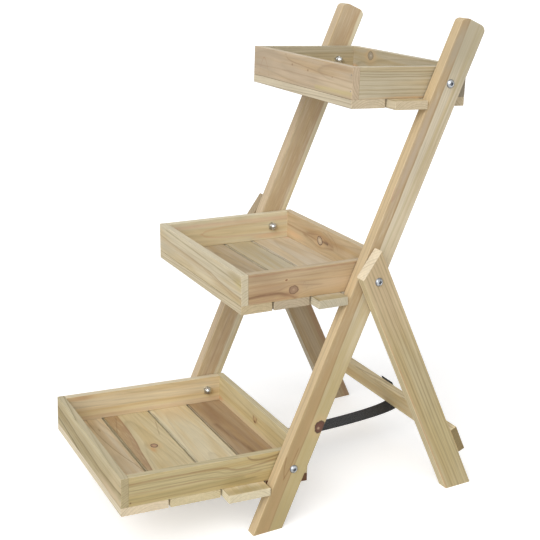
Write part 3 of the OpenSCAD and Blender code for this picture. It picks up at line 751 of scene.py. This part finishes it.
side_board(
    "middle", LEFT, (217, 206, 176), seed=31, pith=(20, -46), spacing=4, contrast=0.34,
    lines=[
        ([(-204, 15), (33, 15)], 3, 3, (214, 176, 146), 0.5),
        ([(-138, -1), (-120, 6), (-60, 10), (33, 11)], 1.4, 1.8, (196, 148, 116), 0.35),
        ([(-138, -1), (-120, -8), (-60, -12), (33, -14)], 1.4, 1.8, (196, 148, 116), 0.35)],
    patches=[(-10, -18, 40, 6, (212, 166, 128), 0.4)])
slat("middle_slat_1", -215.5, -162.5, (193, 175, 140), seed=61, pith=(-190, -40), spacing=4, contrast=0.42)
slat(
    "middle_slat_2", -159.5, -97.4, (184, 168, 142), seed=62, pith=(-135, -38), spacing=4, contrast=0.42,
    patches=[(0, -150, 200, 10, (196, 166, 138), 0.5)])
slat(
    "middle_stop_slat", -94.4, -42.4, (193, 183, 158), STOP_LENGTH, seed=63, pith=(-120, -30),
    slope=(0.05, 0.04), spacing=3, contrast=0.5,
    patches=[(193, -68, 16, 60, (172, 156, 114), 0.6)])
slat(
    "middle_slat_4", -39.4, 44.5, (208, 196, 175), seed=64, pith=(0, -60), spacing=4, contrast=0.36,
    patches=[(-165, 30, 22, 12, (214, 170, 132), 0.45)])

front_board(
    "top", (193, 173, 146), seed=12, pith=(6, -40), spacing=4.5, contrast=0.42,
    lines=[
        ([(-50, 22), (-30, 13), (20, 9), (70, 5), (178, 2)], 0.9, 1.3, BROWN, 0.34),
        ([(-152, -20), (-142, 2), (-135, 8), (-126, 2), (-116, -20)], 1.1, 1.1, RUST, 0.35),
        ([(60, -18), (178, -16)], 2.5, 4, (194, 181, 122), 0.5),
        ([(-178, -8), (-60, -5), (178, -8)], 0.9, 1.2, BROWN, 0.25)],
    patches=[
        (125, 19, 60, 6, (160, 130, 98), 0.4), (-27, 7.5, 3, 2.5, BROWN, 0.7), (29, 4, 3, 2.5, BROWN, 0.7),
        (111, 2.5, 3, 2, BROWN, 0.6), (-150, 4, 90, 40, (168, 152, 130), 0.45),
        (-90, 17, 60, 9, (160, 142, 118), 0.45), (140, -8, 90, 18, (218, 198, 164), 0.4)])
rear_board(
    "top", (187, 177, 153), seed=22, pith=(-6, -38), spacing=4, contrast=0.42, end=(152, 142, 124),
    lines=[([(-135, -11), (-60, -4), (0, 3), (72, 11)], 0.9, 1.4, RUST, 0.45)],
    patches=[(-158, -14, 24, 10, ORANGE, 0.55)],
    knots=[(-101, 13, 7.5, (166, 156, 138), (140, 126, 104))],
    spots=[(-100, 13.5, 4, 2.8, (208, 198, 182), 0.75)])
side_board(
    "top", RIGHT, (188, 176, 150), seed=42, pith=(-60, -12), spacing=2.6, wander=4, contrast=0.5,
    dark=(142, 126, 88),
    lines=[
        ([(-152, 18), (-60, 17), (34, 18)], 0.8, 1.1, REED, 0.6),
        ([(-152, 14), (-60, 13), (34, 14)], 0.8, 1.0, REED, 0.5),
        ([(-152, 10), (-60, 9.5), (34, 10)], 0.8, 1.0, REED, 0.5),
        ([(-152, 5), (-60, 4), (34, 4)], 0.7, 1.0, REED, 0.35),
        ([(-152, -3), (34, -5)], 0.7, 1.0, REED, 0.3), ([(-152, -10), (34, -11)], 0.8, 1.1, REED, 0.45),
        ([(-152, -16), (34, -17)], 0.8, 1.1, REED, 0.45)],
    patches=[(-40, -24, 120, 4, (206, 160, 110), 0.45)])
side_board(
    "top", LEFT, (182, 172, 147), seed=32, pith=(-70, -20), spacing=4, contrast=0.42,
    lines=[([(-152, 12), (34, 12)], 0.9, 1.1, OLIVE, 0.35), ([(-152, 6), (34, 6)], 0.9, 1.1, OLIVE, 0.3)])
slat("top_slat_1", -162.5, -102.0, (202, 186, 158), seed=71, pith=(-130, -42), spacing=4, contrast=0.42)
slat(
    "top_stop_slat", -99.0, -40.5, (204, 187, 156), STOP_LENGTH, seed=72, pith=(-60, -50), spacing=3.5,
    contrast=0.42,
    patches=[(193, -70, 16, 60, (172, 156, 114), 0.5)])
slat("top_slat_3", -37.5, 45, (198, 182, 152), seed=73, pith=(0, -44), spacing=4, contrast=0.42)


# ---------------------------------------------------------------- metal
# Painted shade in the bolts' hex sockets and a painted dark reflection round their heads' rims, each with
# some grime.
SOCKET_GRIME_AND_SHADE_TONE = (104, 108, 114)
HEAD_RIM_GRIME_AND_REFLECTION_TONE = (84, 86, 90)
METAL_BUMP = 0.00003


def metal(name, colour, roughness, nodes, tray=None):
    """Plated steel with duller patches. On a tray's bolts the hex socket is darker, painted shade with some
    grime, and the head's rim is darker, a painted dark reflection with some grime.
    """
    material, tree, shader = new_material(name)
    place = tree.nodes.new("ShaderNodeTexCoord").outputs["Object"]
    patches = noise(tree, place, 260.0, 3.0, 0.6)
    dull = [channel * 0.72 for channel in colour]
    shown = blend_colours(tree, span(tree, patches, 0.4, 0.65), tone(*colour), tone(*dull))
    if tray:
        from_axis = vector_node(tree, "SUBTRACT", place, Vector((0, *PIVOT[tray])) * MM)
        from_axis = vector_node(tree, "MULTIPLY", from_axis, (0, 1 / MM, 1 / MM))
        away = vector_node(tree, "LENGTH", from_axis)
        # Painted shade, with some grime, in the hex socket.
        shown = paint(tree, shown, span(tree, away, 3.0, 2.5), 1.0, SOCKET_GRIME_AND_SHADE_TONE)
        # Painted dark reflection, with some grime, round the head's rim.
        shown = paint(tree, shown, span(tree, away, 5.4, 7.0), 0.8, HEAD_RIM_GRIME_AND_REFLECTION_TONE)
    put(tree, shader.inputs["Base Color"], shown)
    put(tree, shader.inputs["Roughness"], times(tree, patches, 0.22, roughness))
    put(tree, shader.inputs["Normal"], bump(tree, noise(tree, place, 2600.0), METAL_BUMP, 0.5))
    shader.inputs["Metallic"].default_value = 1.0
    give(material, nodes)


for bolted in PIVOT:
    metal(bolted + "_bolt_zinc", (180, 184, 188), 0.26, [bolted + "_bolts"], bolted)
metal("bright_zinc", (214, 216, 216), 0.18, ["bottom_cap_nuts", "middle_cap_nuts", "top_cap_nuts"])
metal("washer_zinc", (188, 189, 188), 0.26, ["tray_washers", "leg_washers"])
metal("steel", (168, 166, 160), 0.30,
      ["bottom_nails", "middle_nails", "top_nails", "rail_screws", "strap_rail_screws", "strap_tray_screws"])


# ---------------------------------------------------------------- webbing strap
STRAP_X = -3.0
STRAP_WIDTH = 38.0
STRAP_THICK = 1.6
STRAP_SAG = 7.0
STRAP_OFF = 1.0                 # its middle line from the wood that it lies on
STRAP_STEP = 0.9                # length of webbing between two rows of points
STRAP_COLUMNS = 42
STRAP_RIM = 0.9                 # width of the rounded rim along each edge
RIM_THICK = 0.03                # half the thickness at the very edge
BODY_SHARE = 0.86               # the body between the weave's floats, as a share of the thickness
RUN_STEPS = 300
HALF_RUN = RUN_STEPS // 2
LAP_FROM = 12.0                 # the strap under the slat, in the tray's own y
LAP_TO = 36.5
LAP_Z = SLAT_MIDDLE - SLAT_THICK / 2 - STRAP_OFF
RAIL_LOW = 369.0                # lower edge of the rail, down the rear leg
RAIL_FRONT = 23.5               # front face of the rail, behind the leg's centreline
RAIL_REAR = 36.0
BOARD_ARRIS = 1.0
CUT_END = 318.0                 # the strap's cut end, down the rear leg
WEAVE_RELIEF = 0.11
WEAVE_ACROSS = 2.5
WEAVE_ALONG = 3.4
CHEVRON_WIDTH = 9.5
CHEVRON_RISE = 3.2
PICK_RISE = 1.466               # how much z counts against y in the place along the strap
FLOAT_ACROSS = 1.25
FLOAT_ALONG = 1.7
WEBBING_BUMP = 0.0002


def bezier(first, second, third, last, share):
    rest = 1 - share
    return (first * rest ** 3 + second * 3 * share * rest ** 2
            + third * 3 * share ** 2 * rest + last * share ** 3)


def evenly(line, step):
    """The same line with its points about step apart."""
    points = [line[0]]
    for start, end in zip(line, line[1:]):
        count = max(1, round((end - start).length / step))
        points += [start.lerp(end, place / count) for place in range(1, count + 1)]
    return points


def strap_lines():
    """The strap's middle line as two halves, which meet in the middle of its slack run."""
    lap = tray_place("bottom", 0, LAP_FROM, LAP_Z)
    leaves = tray_place("bottom", 0, LAP_TO, LAP_Z)
    meets = rear_place(RAIL_LOW + STRAP_OFF, RAIL_FRONT + BOARD_ARRIS)
    reach = meets - leaves
    slat_slope = tray_axes("bottom")[1]
    rail_slope = leg_axes(True)[1]

    def dip(vector):
        """How far the vector ends below a parallel of the straight run."""
        return vector.y * reach.z / reach.y - vector.z

    slat_handle = reach.y * 0.3 * slat_slope
    rail_handle = (STRAP_SAG * 8 / 3 - dip(slat_handle)) / dip(-rail_slope) * rail_slope
    run = [bezier(leaves, leaves + slat_handle, meets - rail_handle, meets, place / RUN_STEPS)
           for place in range(RUN_STEPS + 1)]
    bend = []
    radius = BOARD_ARRIS + STRAP_OFF
    for degrees in range(0, 91, 10):
        angle = math.radians(degrees)
        bend.append(rear_place(RAIL_LOW - BOARD_ARRIS + radius * math.cos(angle),
                               RAIL_REAR - BOARD_ARRIS + radius * math.sin(angle)))
    end = rear_place(CUT_END, RAIL_REAR + STRAP_OFF)
    return [lap] + run[:HALF_RUN + 1], run[HALF_RUN:] + bend + [end]


def half_thickness(x, length):
    """Half the webbing's thickness with the weave's relief, at x across and length along."""
    rim = max(0.0, (abs(x) - STRAP_WIDTH / 2 + STRAP_RIM) / STRAP_RIM)
    body = STRAP_THICK / 2 * math.sqrt(max(0.0, 1 - rim ** 2)) * BODY_SHARE + RIM_THICK
    row = abs((x / CHEVRON_WIDTH) % 2 - 1) * CHEVRON_RISE
    weave = math.cos(math.tau * x / WEAVE_ACROSS) * math.cos(math.tau * (length / WEAVE_ALONG + row / 2))
    return body + WEAVE_RELIEF * weave * (1 - rim)


def webbing(name, line, start):
    """Woven band along the line. start is the length of webbing before it, which places the weave."""
    points = evenly(line, STRAP_STEP)
    vertices = []
    length = start
    for place, point in enumerate(points):
        before = points[max(place - 1, 0)]
        after = points[min(place + 1, len(points) - 1)]
        length += (point - before).length
        along = (after - before).normalized()
        out = Vector((0, -along.z, along.y))
        for side in (1, -1):
            for step in range(STRAP_COLUMNS + 1):
                x = (step / STRAP_COLUMNS * 2 - 1) * side * STRAP_WIDTH / 2
                middle_line = Vector((STRAP_X + x, 0, 0)) + point
                vertices.append((middle_line + out * half_thickness(x, length) * side) * MM)
    ring = 2 * (STRAP_COLUMNS + 1)
    faces = []
    for row in range(len(points) - 1):
        first = row * ring
        for step in range(ring):
            beside = (step + 1) % ring
            faces.append((first + step, first + beside, first + ring + beside, first + ring + step))
    for row, turned in ((0, True), (len(points) - 1, False)):
        first = row * ring
        for step in range(STRAP_COLUMNS):
            other = ring - 2 - step
            corners = [first + step, first + step + 1, first + other, first + other + 1]
            faces.append(corners[::-1] if turned else corners)
    mesh = bpy.data.meshes.new(name)
    mesh.from_pydata(vertices, [], faces)
    mesh.validate()
    mesh.shade_smooth()
    return add_object(name, mesh), length


def webbing_material():
    """Charcoal yarns: diagonal floats with a fuzz that catches the light."""
    material, tree, shader = new_material("charcoal_webbing")
    place = tree.nodes.new("ShaderNodeTexCoord").outputs["Object"]
    x, y, z = split(tree, vector_node(tree, "MULTIPLY", place, (1 / MM, 1 / MM, 1 / MM)))
    along = times(tree, z, PICK_RISE, y)
    waves = math_node(tree, "SINE", times(tree, x, math.tau / FLOAT_ACROSS))
    picks = times(tree, math_node(tree, "ADD", along, x), math.tau / FLOAT_ALONG)
    threads = times(tree, waves, math_node(tree, "SINE", picks))
    fuzz = noise(tree, place, 2200.0, 3.0, 0.7)
    faded = noise(tree, place, 60.0, 3.0, 0.6)
    shade = times(tree, threads, 0.16, times(tree, fuzz, 0.35, 0.2))
    yarn = blend_colours(tree, shade, tone(17, 19, 22), tone(46, 48, 52))
    colour = blend_colours(tree, span(tree, faded, 0.4, 0.75), yarn, tone(38, 39, 41))
    relief = math_node(tree, "ADD", threads, fuzz)
    put(tree, shader.inputs["Base Color"], colour)
    put(tree, shader.inputs["Roughness"], times(tree, fuzz, 0.25, 0.62))
    put(tree, shader.inputs["Normal"], bump(tree, relief, WEBBING_BUMP, 0.7))
    shader.inputs["Specular IOR Level"].default_value = 0.3
    shader.inputs["Sheen Weight"].default_value = 0.12
    shader.inputs["Sheen Roughness"].default_value = 0.5
    return material


charcoal = webbing_material()
front_line, rear_line = strap_lines()
front_strap, front_length = webbing("strap_front_half", front_line, 0.0)
rear_strap = webbing("strap_rear_half", rear_line, front_length)[0]
for half in (front_strap, rear_strap):
    half.data.materials.append(charcoal)
    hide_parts("strap")
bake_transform(front_strap)
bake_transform(rear_strap)


# ---------------------------------------------------------------- floor, light and camera
WHITE = (1, 1, 1, 1)
FLOOR_REACH = 12.0
FLOOR_TONES = ((0.80, 0.80, 0.80, 1), (0.83, 0.83, 0.83, 1))
FLOOR_GLOW = 0.42               # only where it is seen or mirrored, for the photograph's pale ground
WORLD_LIGHT = 0.32
WORLD_SEEN = 0.68               # added where the world is seen or mirrored


def floor():
    mesh = bpy.data.meshes.new("floor")
    corners = [(-1, -1), (1, -1), (1, 1), (-1, 1)]
    mesh.from_pydata([(x * FLOOR_REACH, y * FLOOR_REACH, 0) for x, y in corners], [], [(0, 1, 2, 3)])
    material, tree, shader = new_material("pale_floor")
    rays = tree.nodes.new("ShaderNodeLightPath").outputs
    place = tree.nodes.new("ShaderNodeTexCoord").outputs["Object"]
    put(tree, shader.inputs["Base Color"], blend_colours(tree, noise(tree, place, 14.0, 3.0), *FLOOR_TONES))
    shader.inputs["Roughness"].default_value = 0.9
    shader.inputs["Specular IOR Level"].default_value = 0.1
    shader.inputs["Emission Color"].default_value = WHITE
    seen = math_node(tree, "MAXIMUM", rays["Is Camera Ray"], rays["Is Glossy Ray"])
    put(tree, shader.inputs["Emission Strength"], times(tree, seen, FLOOR_GLOW))
    mesh.materials.append(material)
    made = add_object("floor", mesh)


def world():
    studio = bpy.data.worlds.new("studio")
    studio.use_nodes = True
    bpy.context.scene.world = studio
    tree = studio.node_tree
    rays = tree.nodes.new("ShaderNodeLightPath").outputs
    background = next(node for node in tree.nodes if node.type == "BACKGROUND")
    background.inputs["Color"].default_value = WHITE
    seen = math_node(tree, "MAXIMUM", rays["Is Camera Ray"], rays["Is Glossy Ray"])
    seen = math_node(tree, "MAXIMUM", seen, rays["Is Transmission Ray"])
    put(tree, background.inputs["Strength"], times(tree, seen, WORLD_SEEN, WORLD_LIGHT))


def sun(name, towards, width, power):
    """A distant soft lamp, by the direction towards it and its width in degrees."""
    data = bpy.data.lights.new(name, "SUN")
    data.angle = math.radians(width)
    data.energy = power
    add_object(name, data).rotation_euler = Vector(towards).to_track_quat("Z", "Y").to_euler()


def camera(place, yaw, pitch, roll):
    """The photograph's camera, which looks from place; its angles are in degrees."""
    yaw = math.radians(yaw)
    pitch = math.radians(pitch)
    roll = math.radians(roll)
    back = Vector((math.sin(yaw) * math.cos(pitch), -math.cos(yaw) * math.cos(pitch), math.sin(pitch)))
    level = Vector((math.cos(yaw), math.sin(yaw), 0))
    up = level.cross(-back)
    right = math.cos(roll) * level + math.sin(roll) * up
    high = math.cos(roll) * up - math.sin(roll) * level
    data = bpy.data.cameras.new("camera")
    data.lens = 74.94
    data.sensor_width = 36
    data.sensor_fit = "HORIZONTAL"
    data.shift_x = -0.0346
    data.shift_y = -0.0046
    data.clip_start = 0.05
    made = add_object("camera", data)
    made.matrix_world = Matrix.Translation(place) @ Matrix((right, high, back)).transposed().to_4x4()
    bpy.context.scene.camera = made


floor()
world()
sun("key", (0.5, -0.75, 0.75), 55, 2.1)
sun("fill", (0.95, -0.1, 0.45), 75, 0.86)
sun("back", (-0.7, 0.65, 0.5), 90, 0.6)
camera((1.6524, -0.7496, 0.9622), yaw=63.779, pitch=17.841, roll=-1.726)
bpy.context.scene.view_settings.view_transform = "Standard"
